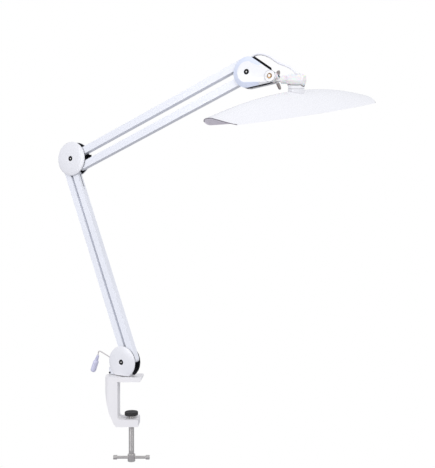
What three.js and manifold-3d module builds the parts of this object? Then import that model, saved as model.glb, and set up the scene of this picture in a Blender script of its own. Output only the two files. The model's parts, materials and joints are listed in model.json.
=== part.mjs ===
// Clamp-on swing arm lamp with two parallelogram arms and a long boat-shaped LED shade.
// Units are millimetres, +Z is up. The origin lies on the underside of the clamp's upper jaw,
// straight below the axis of the base swivel. +X runs from the table's edge over the table.
import * as THREE from "three";
import { mergeVertices } from "three/addons/utils/BufferGeometryUtils.js";
import Module from "manifold-3d";

// ---------------------------------------------------------------- driving dimensions
const GAP = 0.3; // between pieces that touch
const ARM_YAW = -29.2; // degrees the arms are turned on the base swivel
const AXIS_HEIGHT = 39.5; // base joint's axis above the jaw's underside
const ARM_LENGTH = 450; // between the bolts of neighbouring joints
const LOWER_ANGLE = 107.5; // bolt to bolt, degrees above +X of the arm plane
const UPPER_ANGLE = 18.4;

const BAR_DEPTH = 13; // along Y, the width between the joint plates
const BAR_WALL = 1.5;
const LOWER_BAR_WIDTH = 14;
const UPPER_BAR_WIDTH = 15;
const BAR_SOLID_END = 12; // from the pin to the start of the open channel
const PIN_RADIUS = 2.4;
const BOLT_RADIUS = 3;

const PLATE_INNER = 6.8; // distance of a joint plate's inner face from the arm's middle plane
const PLATE_THICKNESS = 1.2;
const COVER_FOOT = PLATE_INNER + PLATE_THICKNESS + GAP;
const COVER_RIM = 1.5;
const COVER_HEIGHT = 4.6;
const RECESS_RADIUS = 6;
const RECESS_DEPTH = 2.4;

const HUB_RADIUS = 5;

const BASE_RADIUS = 33;
const BASE_CHORD = 27.9; // the base discs are cut flat this far below their bolt
const ELBOW_RADIUS = 36.7;
const HEAD_RADIUS = 29;
const NOSE_RADIUS = 11;
const TILT_AT = [48.1, -12.7]; // tilt bolt from the head bolt, x and z
const UPPER_EDGE = 27.2; // the head covers' straight upper edge, from the head bolt
const FLANGE_EDGE = 31.2; // the front plate's flange, which stands above that edge
const LOWER_EDGE = 26.6; // the head plates' straight lower edge

// pins from their joint's bolt, x and z
const BASE_PINS = [
  [2.6, 12.7],
  [25.8, 7.1],
];
const ELBOW_LOWER_PINS = [
  [-19.75, -15.3],
  [3.45, -20.9],
];
const ELBOW_UPPER_PINS = [
  [21.8, 13.2],
  [21.8, -18],
];
const HEAD_PINS = [
  [-11, 20.6],
  [-11, -10.6],
];

const JAW_THICKNESS = 10;
const JAW_WIDTH = 40;
const JAW_TIP = 38.5;
const SPINE_INNER = -12.3;
const SPINE_OUTER = -39.8;
const THROAT = 78; // from the upper jaw's underside to the lower jaw
const LOWER_JAW_THICKNESS = 15;
const LOWER_JAW_TIP = 30;
const SCREW_X = 14;
const SCREW_RADIUS = 5.5;
const PAD_TOP = -66; // the pad's face with the screw wound right down
const SCREW_END = -170;
const SOCKET_RADIUS = 6;
const SOCKET_FLOOR = 3;

const WING_TURN = 86; // degrees the wings stand off level
const TILT = 7.05; // degrees the knuckle nods down
const ROLL = 14.8; // degrees the neck leans about the knuckle's tube
const SWIVEL = 72.9; // degrees the shade is turned on its neck
const TUBE_DROP = 4.2; // the tube's axis below the tilt bolt
const TUBE_RADIUS = 7.4;
const TUBE_START = 19; // the thin neck between the eye and the tube ends here
const BARREL_START = 31;
const BARREL_END = 65;
const BARREL_RADIUS = 10.7;
const NECK_RADIUS = 15;
const NECK_LENGTH = 18.9; // barrel axis to the shade's crown

const SHADE_HALF_LENGTH = 190.8;
const SHADE_END_BULGE = 0.11; // how far the ends bow outwards, as a share of the half length
const SHADE_END_HALF_WIDTH = 42;
const SHADE_MID_HALF_WIDTH = 56.2;
const SHADE_CROWN = 37.2;
const SHADE_CROWN_FALL = 0.71; // share of the crown lost at the ends
const SHADE_CROWN_POWER = 1.5;
const SHADE_REAR_DROP = 18; // how much lower the rear long edge hangs than the front one, at the middle
const SHADE_REAR_RISE = 9.6; // how much of that is lost at the ends
const SHADE_WALL = 2.2;
const SKIN_STEPS = 24; // along the shade; half as many across

const TRAY_HALF_LENGTH = 140; // the box that holds the light, inside the shade
const TRAY_HALF_WIDTH = 31;
const TRAY_CORNER = 12;
const TRAY_TOP = 8.8;
const POST_AT = 60; // its two posts, each side of the shade's middle
const POST_TOP = 31.2;

const SPRING_RADIUS = 3.9;
const SPRING_LENGTH = 170;
const CHANNEL_CABLE_RADIUS = 2.4;

// supply lead and head cable, as points [x, y, z] from the bolt of the joint they leave
const LEAD_RADIUS = 1.25;
const LEAD_ROUTE = [
  [-27.2, 0.5, -1.5],
  [-31.5, 0.6, -0.4],
  [-36.2, 1, 2.2],
  [-41.6, 1.5, 5.5],
  [-48.5, 2.2, 8.1],
  [-55.4, 3, 10.4],
  [-61, 3.8, 12.3],
  [-66, 4.6, 13.9],
  [-69.8, 5.3, 14.6],
  [-72.8, 5.8, 13.4],
  [-74.4, 6, 10.8],
  [-74.9, 6, 8],
  [-75.1, 6, 5.6],
];
const CONNECTOR_TOP = [-75.2, 6, 5.2];
const CONNECTOR_BOTTOM = [-89.6, 6, -31];

const HEAD_CABLE_RADIUS = 2.3;
const GLAND_X = 49; // on the barrel's top, from the tilt bolt
const GLAND_LEAN = 51.5; // degrees from upright, towards the head joint
const HEAD_CABLE_ROUTE = [
  [2.7, 0, 23.2],
  [4.4, 0.1, 27.6],
  [8, 0.5, 31.2],
  [13.4, 1.1, 33.2],
  [20, 1.8, 33.6],
  [27.5, 2.6, 32.2],
  [35, 3.2, 29.2],
  [42.5, 3.4, 24.8],
  [50, 3, 19.4],
  [57.5, 2.4, 14],
  [65, 1.8, 9.8],
  [72.5, 1.2, 6.6],
  [79.5, 0.7, 3],
  [85, 0.3, -0.9],
  [89.6, 0.1, -4.4],
  [93.4, 0, -8.1],
];

const rad = THREE.MathUtils.degToRad;

// ---------------------------------------------------------------- materials
const material = (color, roughness, metalness = 0) =>
  new THREE.MeshStandardMaterial({ color, roughness, metalness });
const paint = material(0xeeeeef, 0.35);
const plastic = material(0xf2f2f2, 0.3);
const black = material(0x161618, 0.5);
const steel = material(0xb4b0aa, 0.3, 1);
const brass = material(0xc2a878, 0.3, 1);
const cable = material(0xd9d9dc, 0.5);
const opal = material(0xfafaf6, 0.25);
const board = material(0xf4f4ee, 0.6);

// ---------------------------------------------------------------- solids
const wasm = await Module();
wasm.setup();

const bare = (geometry) => {
  const copy = geometry.clone();
  copy.deleteAttribute("normal");
  copy.deleteAttribute("uv");
  return mergeVertices(copy, 1e-4);
};

const turnedOut = (geometry) => {
  const merged = bare(geometry);
  const p = merged.attributes.position;
  const index = merged.index.array;
  const [a, b, c] = [new THREE.Vector3(), new THREE.Vector3(), new THREE.Vector3()];
  let volume = 0;
  for (let i = 0; i < index.length; i += 3) {
    a.fromBufferAttribute(p, index[i]);
    b.fromBufferAttribute(p, index[i + 1]);
    c.fromBufferAttribute(p, index[i + 2]);
    volume += a.dot(b.cross(c));
  }
  if (volume < 0) {
    for (let i = 0; i < index.length; i += 3) {
      [index[i + 1], index[i + 2]] = [index[i + 2], index[i + 1]];
    }
  }
  return merged;
};

const toManifold = (geometry) => {
  const g = turnedOut(geometry);
  return new wasm.Manifold(
    new wasm.Mesh({
      numProp: 3,
      vertProperties: new Float32Array(g.attributes.position.array),
      triVerts: new Uint32Array(g.index.array),
    }),
  );
};

const fromManifold = (solid) => {
  const mesh = solid.getMesh();
  const g = new THREE.BufferGeometry();
  g.setAttribute("position", new THREE.BufferAttribute(mesh.vertProperties, 3));
  g.setIndex(new THREE.BufferAttribute(mesh.triVerts, 1));
  return g;
};

const join = (...parts) => fromManifold(parts.map(toManifold).reduce((a, b) => a.add(b)));
const cut = (from, ...tools) =>
  fromManifold(tools.map(toManifold).reduce((a, b) => a.subtract(b), toManifold(from)));
const common = (a, b) => fromManifold(toManifold(a).intersect(toManifold(b)));

// ---------------------------------------------------------------- shapes
const box = (x0, x1, y0, y1, z0, z1) =>
  new THREE.BoxGeometry(x1 - x0, y1 - y0, z1 - z0).translate((x0 + x1) / 2, (y0 + y1) / 2, (z0 + z1) / 2);

// round bar along Y from y0 to y1, centred on x, z
const rodY = (x, z, radius, y0, y1, sides = 16) =>
  new THREE.CylinderGeometry(radius, radius, y1 - y0, sides).translate(x, (y0 + y1) / 2, z);

const rodZ = (x, y, radius, z0, z1, sides = 20) =>
  new THREE.CylinderGeometry(radius, radius, z1 - z0, sides)
    .rotateX(Math.PI / 2)
    .translate(x, y, (z0 + z1) / 2);

const rodX = (y, z, radius, x0, x1, sides = 20) =>
  new THREE.CylinderGeometry(radius, radius, x1 - x0, sides)
    .rotateZ(Math.PI / 2)
    .translate((x0 + x1) / 2, y, z);

// A shape drawn in x, z and given thickness from y0 to y1.
const slab = (shape, y0, y1, curveSegments = 8) =>
  new THREE.ExtrudeGeometry(shape, { depth: y1 - y0, bevelEnabled: false, curveSegments })
    .rotateX(Math.PI / 2)
    .translate(0, y1, 0);

// A profile of [radius, height] turned about Y; side -1 faces -Y and +1 faces +Y.
const turned = (profile, side, sides = 32) => {
  const points = [...profile, profile[0]].map(([r, h]) => new THREE.Vector2(r, side * h));
  return new THREE.LatheGeometry(points, sides);
};

// The outline round two circles, the first of radius r0 at the middle and the other of radius r1 at [x, z].
const teardrop = (r0, r1, [x, z], grow = 0) => {
  const lean = Math.atan2(z, x);
  const open = Math.acos((r0 - r1) / Math.hypot(x, z));
  const shape = new THREE.Shape();
  shape.absarc(0, 0, r0 + grow, lean + open, lean - open + 2 * Math.PI, false);
  shape.absarc(x, z, r1 + grow, lean - open, lean + open, false);
  shape.closePath();
  return shape;
};

const stadium = (length, half) => {
  const shape = new THREE.Shape();
  shape.absarc(0, 0, half, Math.PI / 2, (3 * Math.PI) / 2, false);
  shape.absarc(length, 0, half, -Math.PI / 2, Math.PI / 2, false);
  shape.closePath();
  return shape;
};

const tube = (points, radius, steps, sides = 8) => {
  const route = points.map((p) => new THREE.Vector3(...p));
  const curve = new THREE.CatmullRomCurve3(route, false, "centripetal");
  const section = new THREE.Shape();
  section.absarc(0, 0, radius, 0, 2 * Math.PI, false);
  return new THREE.ExtrudeGeometry(section, { steps, extrudePath: curve, curveSegments: sides / 2 });
};

// ---------------------------------------------------------------- scene helpers
const group = new THREE.Group();

const put = (parent, name, geometry, look) => {
  const flat = turnedOut(geometry).toNonIndexed();
  flat.computeVertexNormals();
  const mesh = new THREE.Mesh(flat, look);
  mesh.name = name;
  parent.add(mesh);
  return mesh;
};

const place = (parent, x, y, z) => {
  const frame = new THREE.Group();
  frame.position.set(x, y, z);
  parent.add(frame);
  return frame;
};

// ---------------------------------------------------------------- clamp
// Side view of the C-shaped casting: a flat upper jaw, a back that curves in as it goes down, a lower jaw.
const clampProfile = () => {
  const bottom = -THROAT - LOWER_JAW_THICKNESS;
  const shape = new THREE.Shape();
  shape.moveTo(SPINE_OUTER, JAW_THICKNESS);
  shape.lineTo(SPINE_OUTER, -8);
  shape.quadraticCurveTo(SPINE_OUTER + 2, -62, SPINE_INNER - 4, bottom);
  shape.lineTo(LOWER_JAW_TIP, bottom);
  shape.lineTo(LOWER_JAW_TIP, -THROAT);
  shape.lineTo(SPINE_INNER + 6, -THROAT);
  shape.quadraticCurveTo(SPINE_INNER, -THROAT, SPINE_INNER, -THROAT + 8);
  shape.lineTo(SPINE_INNER, 0);
  shape.lineTo(JAW_TIP - 5.5, 0);
  shape.quadraticCurveTo(JAW_TIP - 2, 1, JAW_TIP, JAW_THICKNESS - 2);
  shape.lineTo(JAW_TIP, JAW_THICKNESS);
  shape.closePath();
  return shape;
};

// Seen from above, the casting has a round back and softly rounded tip corners.
const clampPlan = () => {
  const half = JAW_WIDTH / 2;
  const back = 18;
  const tip = 7;
  const shape = new THREE.Shape();
  shape.moveTo(SPINE_OUTER + back, -half);
  shape.lineTo(JAW_TIP - tip, -half);
  shape.quadraticCurveTo(JAW_TIP, -half, JAW_TIP, -half + tip);
  shape.lineTo(JAW_TIP, half - tip);
  shape.quadraticCurveTo(JAW_TIP, half, JAW_TIP - tip, half);
  shape.lineTo(SPINE_OUTER + back, half);
  shape.bezierCurveTo(SPINE_OUTER + 4, half, SPINE_OUTER, half - 8, SPINE_OUTER, 0);
  shape.bezierCurveTo(SPINE_OUTER, -half + 8, SPINE_OUTER + 4, -half, SPINE_OUTER + back, -half);
  return shape;
};

const buildClamp = (parent) => {
  const profile = slab(clampProfile(), -JAW_WIDTH / 2, JAW_WIDTH / 2, 10);
  const depth = THROAT + LOWER_JAW_THICKNESS + JAW_THICKNESS + 4;
  const plan = new THREE.ExtrudeGeometry(clampPlan(), { depth, bevelEnabled: false, curveSegments: 8 });
  plan.translate(0, 0, JAW_THICKNESS + 2 - depth);
  const socket = rodZ(0, 0, SOCKET_RADIUS, SOCKET_FLOOR, JAW_THICKNESS + 5);
  const bore = rodZ(SCREW_X, 0, SCREW_RADIUS + GAP, -THROAT - LOWER_JAW_THICKNESS - 5, -THROAT + 5);
  const cornerRelief = rodY(SPINE_INNER + 0.9, -0.9, 1.6, -JAW_WIDTH / 2 - 1, JAW_WIDTH / 2 + 1, 12);
  put(parent, "clamp_frame", cut(common(profile, plan), socket, bore, cornerRelief), paint);
};

const buildClampScrew = (parent) => {
  const padHeight = 7;
  const cup = rodZ(SCREW_X, 0, 14, PAD_TOP - padHeight, PAD_TOP, 32);
  const cupHole = rodZ(SCREW_X, 0, 4.3, PAD_TOP - padHeight - 1, PAD_TOP - 3);
  put(parent, "clamp_pad", cut(cup, cupHole), black);

  const tipTop = PAD_TOP - 3 - GAP;
  const shaftTop = PAD_TOP - padHeight - GAP;
  const barZ = SCREW_END + 8;
  const shaft = join(
    rodZ(SCREW_X, 0, 4, shaftTop - 1, tipTop),
    rodZ(SCREW_X, 0, SCREW_RADIUS, SCREW_END + 14, shaftTop),
    rodZ(SCREW_X, 0, 8, SCREW_END, SCREW_END + 15),
  );
  put(parent, "clamp_screw", cut(shaft, rodX(0, barZ, 3 + GAP, SCREW_X - 20, SCREW_X + 20)), steel);
  const barHalf = 34;
  const knobs = [-1, 1].map((side) => {
    const middle = SCREW_X + side * barHalf;
    return rodX(0, barZ, 4.6, middle - 4, middle + 4);
  });
  const rod = rodX(0, barZ, 3, SCREW_X - barHalf, SCREW_X + barHalf);
  put(parent, "clamp_handle", join(rod, ...knobs), steel);
};

// ---------------------------------------------------------------- joint discs
const roundCover = (radius, side) => {
  const foot = COVER_FOOT;
  const top = foot + COVER_HEIGHT;
  const profile = [
    [BOLT_RADIUS + GAP, foot],
    [radius, foot],
    [radius, foot + COVER_RIM],
  ];
  const crownSteps = 4;
  for (let i = 1; i <= crownSteps; i++) {
    const angle = (i / crownSteps) * (Math.PI / 2);
    const r = radius - (radius - RECESS_RADIUS) * (1 - Math.cos(angle));
    profile.push([r, foot + COVER_RIM + (COVER_HEIGHT - COVER_RIM) * Math.sin(angle)]);
  }
  profile.push([RECESS_RADIUS - 0.4, top - RECESS_DEPTH]);
  profile.push([BOLT_RADIUS + GAP, top - RECESS_DEPTH]);
  return turned(profile, side);
};

const disc = (radius) => {
  const shape = new THREE.Shape();
  shape.absarc(0, 0, radius, 0, 2 * Math.PI, false);
  return shape;
};

// Inner plate of a joint. The front one carries the hub that holds the two apart round the bolt.
const plate = (shape, side, pins, extra = []) => {
  const y0 = side < 0 ? -PLATE_INNER - PLATE_THICKNESS : PLATE_INNER;
  const blank = slab(shape, y0, y0 + PLATE_THICKNESS, 12);
  const hub = side < 0 ? [rodY(0, 0, HUB_RADIUS, y0 + 0.5, PLATE_INNER - GAP, 20)] : [];
  const holes = pins.map(([x, z]) => rodY(x, z, PIN_RADIUS + GAP, y0 - 1, y0 + 3, 12));
  holes.push(rodY(0, 0, BOLT_RADIUS + GAP, -COVER_FOOT - 1, COVER_FOOT + 1, 16));
  return cut(join(blank, ...hub, ...extra), ...holes);
};

const SIDES = [[-1, "front"], [1, "rear"]];

// Bolt with a domed socket head in the front cover's recess, and its nut in the rear one.
const buildBolt = (parent, name) => {
  const face = COVER_FOOT + COVER_HEIGHT - RECESS_DEPTH;
  const headProfile = [
    [0, face + GAP],
    [4, face + GAP],
    [4, face + 1.3],
    [3.2, face + 2],
    [0, face + 2.2],
  ];
  const head = turned(headProfile, -1, 20);
  const shank = rodY(0, 0, BOLT_RADIUS, -face - 0.5, face + 1, 16);
  put(parent, `${name}_bolt`, join(head, shank), brass);
  const nut = rodY(0, 0, 4.6, face + 1 + GAP, face + 3.6, 6);
  put(parent, `${name}_nut`, nut, steel);
};

const buildPins = (parent, name, pins, labels) => {
  const reach = PLATE_INNER + PLATE_THICKNESS;
  pins.forEach(([x, z], i) => {
    put(parent, `${name}_pin_${labels[i]}`, rodY(x, z, PIN_RADIUS, -reach, reach, 14), steel);
  });
};

// ---------------------------------------------------------------- arm bars
// A channel bar from the pin at its own origin along +X, open towards +Y, with solid rounded ends.
const barBody = (length, width) => {
  const half = BAR_DEPTH / 2;
  const outside = slab(stadium(length, width / 2), -half, half, 6);
  const inner = width / 2 - BAR_WALL;
  const open = length - 2 * BAR_SOLID_END - 2 * inner;
  const pocket = slab(stadium(open, inner), -half + BAR_WALL, half + 1, 4);
  pocket.translate(BAR_SOLID_END + inner, 0, 0);
  const holes = [0, length].map((x) => rodY(x, 0, PIN_RADIUS + GAP, -half - 1, half + 1, 14));
  return cut(outside, pocket, ...holes);
};

// Narrow slot and small hole through a bar's under wall, near its far end, where the cable comes in.
const cableSlot = (length, width) => {
  const [outer, inner] = [-width / 2 - 1, -width / 2 + BAR_WALL + 1];
  return [
    box(length - 46, length - 15, 0, 2.4, outer, inner),
    rodZ(length - 49.5, 1.1, 1, outer, inner, 12),
  ];
};

const alongBar = (parent, from, to) => {
  const frame = place(parent, from[0], 0, from[1]);
  frame.rotation.y = -Math.atan2(to[1] - from[1], to[0] - from[0]);
  return { frame, length: Math.hypot(to[0] - from[0], to[1] - from[1]) };
};

const buildBar = (parent, name, from, to, width, slotted = false) => {
  const { frame, length } = alongBar(parent, from, to);
  const body = barBody(length, width);
  put(frame, name, slotted ? cut(body, ...cableSlot(length, width)) : body, paint);
  return { frame, length };
};

const buildSpring = ({ frame }, name) => {
  const start = BAR_SOLID_END + 6;
  put(frame, name, rodX(0.6, 0, SPRING_RADIUS, start, start + SPRING_LENGTH, 12), steel);
};

const buildChannelCable = ({ frame, length }, name) => {
  const ends = BAR_SOLID_END + 1.5;
  put(frame, name, rodX(-1.5, 0, CHANNEL_CABLE_RADIUS, ends, length - ends, 8), cable);
};

const polar = (length, degrees) => [length * Math.cos(rad(degrees)), length * Math.sin(rad(degrees))];
const sum = ([a, b], [c, d]) => [a + c, b + d];
const ELBOW = polar(ARM_LENGTH, LOWER_ANGLE);
const HEAD = sum(ELBOW, polar(ARM_LENGTH, UPPER_ANGLE));

// ---------------------------------------------------------------- base joint
const buildBase = (parent) => {
  const jawTop = JAW_THICKNESS - AXIS_HEIGHT;
  const blockBottom = jawTop + 1.3;
  const blockTop = -14.8;
  const postRadius = SOCKET_RADIUS - GAP;
  const half = BAR_DEPTH / 2;
  const [screwX, screwZ] = [-33.4, blockBottom + 2.4];
  const screwHole = rodY(screwX, screwZ, 1.6, -half - 1, half - 3, 12);
  const post = rodZ(0, 0, postRadius, SOCKET_FLOOR - AXIS_HEIGHT + GAP, blockBottom + 1);
  const block = join(box(-36, 15, -half, half, blockBottom, blockTop), post);
  put(parent, "base_bracket", cut(block, screwHole), paint);
  const washer = cut(
    rodZ(0, 0, 12, jawTop + GAP, blockBottom - GAP),
    rodZ(0, 0, SOCKET_RADIUS, jawTop - 1, blockBottom + 1),
  );
  put(parent, "base_washer", washer, black);
  const screw = join(
    rodY(screwX, screwZ, 1.3, -half - 0.6, half - 4, 12),
    rodY(screwX, screwZ, 2, -half - 1.4, -half - GAP, 16),
  );
  put(parent, "base_lock_screw", screw, black);

  const below = box(-60, 60, -30, 30, -80, -BASE_CHORD);
  // the rear plate stands out a little past its cover
  for (const [side, name] of SIDES) {
    const whole = plate(disc(BASE_RADIUS + (side > 0 ? 1.6 : -0.8)), side, BASE_PINS);
    put(parent, `base_plate_${name}`, cut(whole, below), black);
    put(parent, `base_cover_${name}`, cut(roundCover(BASE_RADIUS, side), below), plastic);
  }
  buildBolt(parent, "base");
  buildPins(parent, "base", BASE_PINS, ["left", "right"]);
};

// ---------------------------------------------------------------- supply lead
const buildLead = (parent) => {
  const grommet = cut(
    rodX(0, -1.5, PLATE_INNER - GAP, -27.5, -20, 20),
    rodX(0.5, -1.5, LEAD_RADIUS + GAP, -30, -26.8, 12),
  );
  put(parent, "lead_grommet", grommet, black);
  put(parent, "dc_lead", tube(LEAD_ROUTE, LEAD_RADIUS, 20), cable);

  const top = new THREE.Vector3(...CONNECTOR_TOP);
  const bottom = new THREE.Vector3(...CONNECTOR_BOTTOM);
  const axis = bottom.clone().sub(top);
  const length = axis.length();
  const profile = [
    [0, 0],
    [2.8, 0],
    [3.5, 2],
    [3.7, 11.5],
    [5.3, 13.5],
    [6, 16.5],
    [6, length - 6.5],
    [5.2, length - 2.4],
    [3.9, length],
    [2.8, length],
    [2.8, length - 9],
    [0, length - 9],
  ].map(([r, y]) => new THREE.Vector2(r, y));
  const body = new THREE.LatheGeometry(profile, 16);
  const turn = new THREE.Quaternion().setFromUnitVectors(new THREE.Vector3(0, 1, 0), axis.normalize());
  body.applyQuaternion(turn).translate(top.x, top.y, top.z);
  put(parent, "dc_connector", body, plastic);
};

// ---------------------------------------------------------------- elbow joint
const buildElbow = (parent) => {
  const pins = [...ELBOW_LOWER_PINS, ...ELBOW_UPPER_PINS];
  for (const [side, name] of SIDES) {
    const y0 = side < 0 ? -PLATE_INNER - PLATE_THICKNESS : PLATE_INNER;
    const tab = side > 0 ? [box(28, 42, y0, y0 + PLATE_THICKNESS, -10, 8)] : [];
    put(parent, `elbow_plate_${name}`, plate(disc(ELBOW_RADIUS - 0.6), side, pins, tab), black);
    put(parent, `elbow_cover_${name}`, roundCover(ELBOW_RADIUS, side), plastic);
  }
  buildBolt(parent, "elbow");
  buildPins(parent, "elbow", pins, ["lower_left", "lower_right", "upper_top", "upper_bottom"]);
};

// ---------------------------------------------------------------- head joint
// The head's straight edges run from the round end to the nose. A point on one is given by how far it is
// along the edge and how far out from the head bolt; side 1 is the upper edge and -1 the lower.
const edgePoint = (side, along, out) => {
  const [x, z] = TILT_AT;
  const open = Math.acos((HEAD_RADIUS - NOSE_RADIUS) / Math.hypot(x, z));
  const angle = Math.atan2(z, x) + side * open;
  const [nx, nz] = [Math.cos(angle), Math.sin(angle)];
  return [nx * out + side * nz * along, nz * out - side * nx * along];
};

const outline = (corners) => {
  const shape = new THREE.Shape();
  corners.forEach(([x, z], i) => (i ? shape.lineTo(x, z) : shape.moveTo(x, z)));
  shape.closePath();
  return shape;
};

// Everything outside one straight edge, to be cut away.
const beyondEdge = (side, out) =>
  slab(
    outline([
      edgePoint(side, -40, out),
      edgePoint(side, -40, out + 20),
      edgePoint(side, 80, out + 20),
      edgePoint(side, 80, out),
    ]),
    -30,
    30,
  );

// A cover whose round end slopes up to a flat face that runs out to the nose.
const headCover = (side) => {
  const foot = COVER_FOOT;
  const top = foot + COVER_HEIGHT;
  const outer = teardrop(HEAD_RADIUS, NOSE_RADIUS, TILT_AT).getSpacedPoints(48);
  const rim = 19.5;
  const nose = NOSE_RADIUS - 0.7;
  const inner = teardrop(rim, nose, TILT_AT).getSpacedPoints(48);
  const layers = [
    [outer, foot],
    [outer, foot + COVER_RIM],
    [inner, top],
  ];
  const count = outer.length - 1;
  const corners = [];
  for (const [ring, y] of layers) {
    for (let i = 0; i < count; i++) corners.push(ring[i].x, side * y, ring[i].y);
  }
  corners.push(0, side * foot, 0, 0, side * top, 0);
  const faces = [];
  for (let i = 0; i < count; i++) {
    const next = (i + 1) % count;
    for (let layer = 0; layer < layers.length - 1; layer++) {
      const [a, b] = [layer * count + i, layer * count + next];
      faces.push(a, b, b + count, a, b + count, a + count);
    }
    faces.push(next, i, layers.length * count);
    const last = (layers.length - 1) * count;
    faces.push(last + i, last + next, layers.length * count + 1);
  }
  const g = new THREE.BufferGeometry();
  g.setAttribute("position", new THREE.BufferAttribute(new Float32Array(corners), 3));
  g.setIndex(faces);
  const [x, z] = TILT_AT;
  const [low, high] = side < 0 ? [-top - 1, -foot + 1] : [foot - 1, top + 1];
  const recess = side < 0 ? [-top - 1, -top + RECESS_DEPTH] : [top - RECESS_DEPTH, top + 1];
  return cut(
    g,
    rodY(0, 0, BOLT_RADIUS + GAP, low, high, 16),
    rodY(0, 0, RECESS_RADIUS, ...recess, 24),
    rodY(x, z, BOLT_RADIUS + GAP, low, high, 16),
    beyondEdge(1, UPPER_EDGE),
  );
};

const buildHead = (parent) => {
  const [x, z] = TILT_AT;
  const flange = slab(
    outline([
      edgePoint(1, -9, 27.6),
      edgePoint(1, -4, FLANGE_EDGE),
      edgePoint(1, 37, FLANGE_EDGE),
      edgePoint(1, 42, UPPER_EDGE),
      edgePoint(1, 42, UPPER_EDGE - 2),
      edgePoint(1, -9, 25),
    ]),
    -PLATE_INNER - PLATE_THICKNESS,
    -PLATE_INNER,
  );
  for (const [side, name] of SIDES) {
    const y0 = side < 0 ? -PLATE_INNER - PLATE_THICKNESS : PLATE_INNER;
    const tiltHole = rodY(x, z, BOLT_RADIUS + GAP, y0 - 1, y0 + 3, 16);
    const blank = plate(teardrop(HEAD_RADIUS - 0.6, NOSE_RADIUS - 0.6, TILT_AT), side, HEAD_PINS);
    const trimmed = cut(blank, tiltHole, beyondEdge(-1, LOWER_EDGE), beyondEdge(1, UPPER_EDGE - 0.4));
    put(parent, `head_plate_${name}`, side < 0 ? join(trimmed, flange) : trimmed, black);
    put(parent, `head_cover_${name}`, headCover(side), plastic);
  }
  buildBolt(parent, "head");
  buildPins(parent, "head", HEAD_PINS, ["top", "bottom"]);

  const face = COVER_FOOT + COVER_HEIGHT;
  const boltHead = join(
    rodY(x, z, 5, -face - 4, -face - 1.2 - GAP, 20),
    rodY(x, z, BOLT_RADIUS, -face - 1.6, face + 15, 16),
  );
  put(parent, "tilt_bolt", boltHead, brass);
  const ring = rodY(x, z, 10.4, -face - 1.2, -face - GAP, 28);
  put(parent, "tilt_washer", cut(ring, rodY(x, z, BOLT_RADIUS + GAP, -face - 3, face + 3, 16)), steel);

  // the block that grips the cable where it leaves the joint
  const [from, to] = HEAD_CABLE_ROUTE;
  const block = cut(
    new THREE.BoxGeometry(7, 2 * (PLATE_INNER - GAP), 6),
    rodZ(0, 0, HEAD_CABLE_RADIUS + GAP, -0.4, 5.6, 12),
  );
  block.rotateY(Math.atan2(to[0] - from[0], to[2] - from[2]));
  put(parent, "head_cable_grip", block.translate(...from), black);
};

// ---------------------------------------------------------------- wing nut
const buildWingNut = (parent) => {
  const [x, z] = TILT_AT;
  const face = COVER_FOOT + COVER_HEIGHT + GAP;
  const wing = new THREE.Shape();
  wing.moveTo(-5.2, -3.5);
  wing.quadraticCurveTo(-13, 1.5, -17.5, 9.5);
  wing.quadraticCurveTo(-19.6, 15.5, -14.5, 15.4);
  wing.quadraticCurveTo(-8.5, 13, -5, 5.6);
  wing.lineTo(5, 5.6);
  wing.quadraticCurveTo(8.5, 13, 14.5, 15.4);
  wing.quadraticCurveTo(19.6, 15.5, 17.5, 9.5);
  wing.quadraticCurveTo(13, 1.5, 5.2, -3.5);
  wing.closePath();
  const blades = new THREE.ExtrudeGeometry(wing, { depth: 3, bevelEnabled: false, curveSegments: 5 });
  blades.translate(0, 0, -1.5).translate(0, face + 3.8, 0);
  const hub = new THREE.CylinderGeometry(5.4, 6.8, 9, 20).translate(0, face + 4.5, 0);
  const bore = rodY(0, 0, BOLT_RADIUS + GAP, face - 1, face + 30, 16);
  const nut = cut(join(blades, hub), bore);
  nut.rotateY(rad(WING_TURN)).translate(x, 0, z);
  put(parent, "wing_nut", nut, steel);
};

// ---------------------------------------------------------------- knuckle and neck
const buildKnuckle = (parent) => {
  const half = PLATE_INNER - GAP;
  const eye = join(
    rodY(0, 0, 9, -half, half, 28),
    box(0, TUBE_START + 1, -half + 2, half - 2, -TUBE_DROP - 3.4, -TUBE_DROP + 3.4),
  );
  const tubeSolid = rodX(0, -TUBE_DROP, TUBE_RADIUS, TUBE_START, BARREL_START + 1);
  const bore = rodY(0, 0, BOLT_RADIUS + GAP, -half - 1, half + 1, 16);
  put(parent, "knuckle_tube", cut(join(eye, tubeSolid), bore), plastic);

  const barrelFrom = BARREL_START + 1 + GAP;
  const profile = [
    [0, barrelFrom],
    [BARREL_RADIUS - 0.8, barrelFrom],
    [BARREL_RADIUS, barrelFrom + 0.8],
    [BARREL_RADIUS, BARREL_END - 4],
    [BARREL_RADIUS - 1.6, BARREL_END - 1.2],
    [BARREL_RADIUS - 4.5, BARREL_END],
    [0, BARREL_END],
  ].map(([r, x]) => new THREE.Vector2(r, x));
  const barrel = new THREE.LatheGeometry(profile, 24).rotateZ(-Math.PI / 2).translate(0, 0, -TUBE_DROP);
  put(parent, "knuckle_barrel", barrel, opal);
};

const buildCableGland = (parent) => {
  const gland = new THREE.CylinderGeometry(3.1, 4.6, 9, 16)
    .translate(0, 1, 0)
    .rotateZ(rad(GLAND_LEAN))
    .rotateX(Math.PI / 2)
    .translate(GLAND_X, 0, BARREL_RADIUS - TUBE_DROP);
  const seat = rodX(0, -TUBE_DROP, BARREL_RADIUS + GAP, BARREL_START - 5, BARREL_END + 5, 32);
  put(parent, "knuckle_cable_gland", cut(gland, seat), black);
};

const buildNeckSaddle = (parent) => {
  const saddle = cut(
    rodZ(0, 0, NECK_RADIUS, -14, -6, 28),
    rodX(0, 0, BARREL_RADIUS + GAP, -30, 30, 32),
    box(-20, 20, -20, 20, -7.5, 5),
  );
  put(parent, "neck_saddle", saddle, plastic);
};

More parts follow.
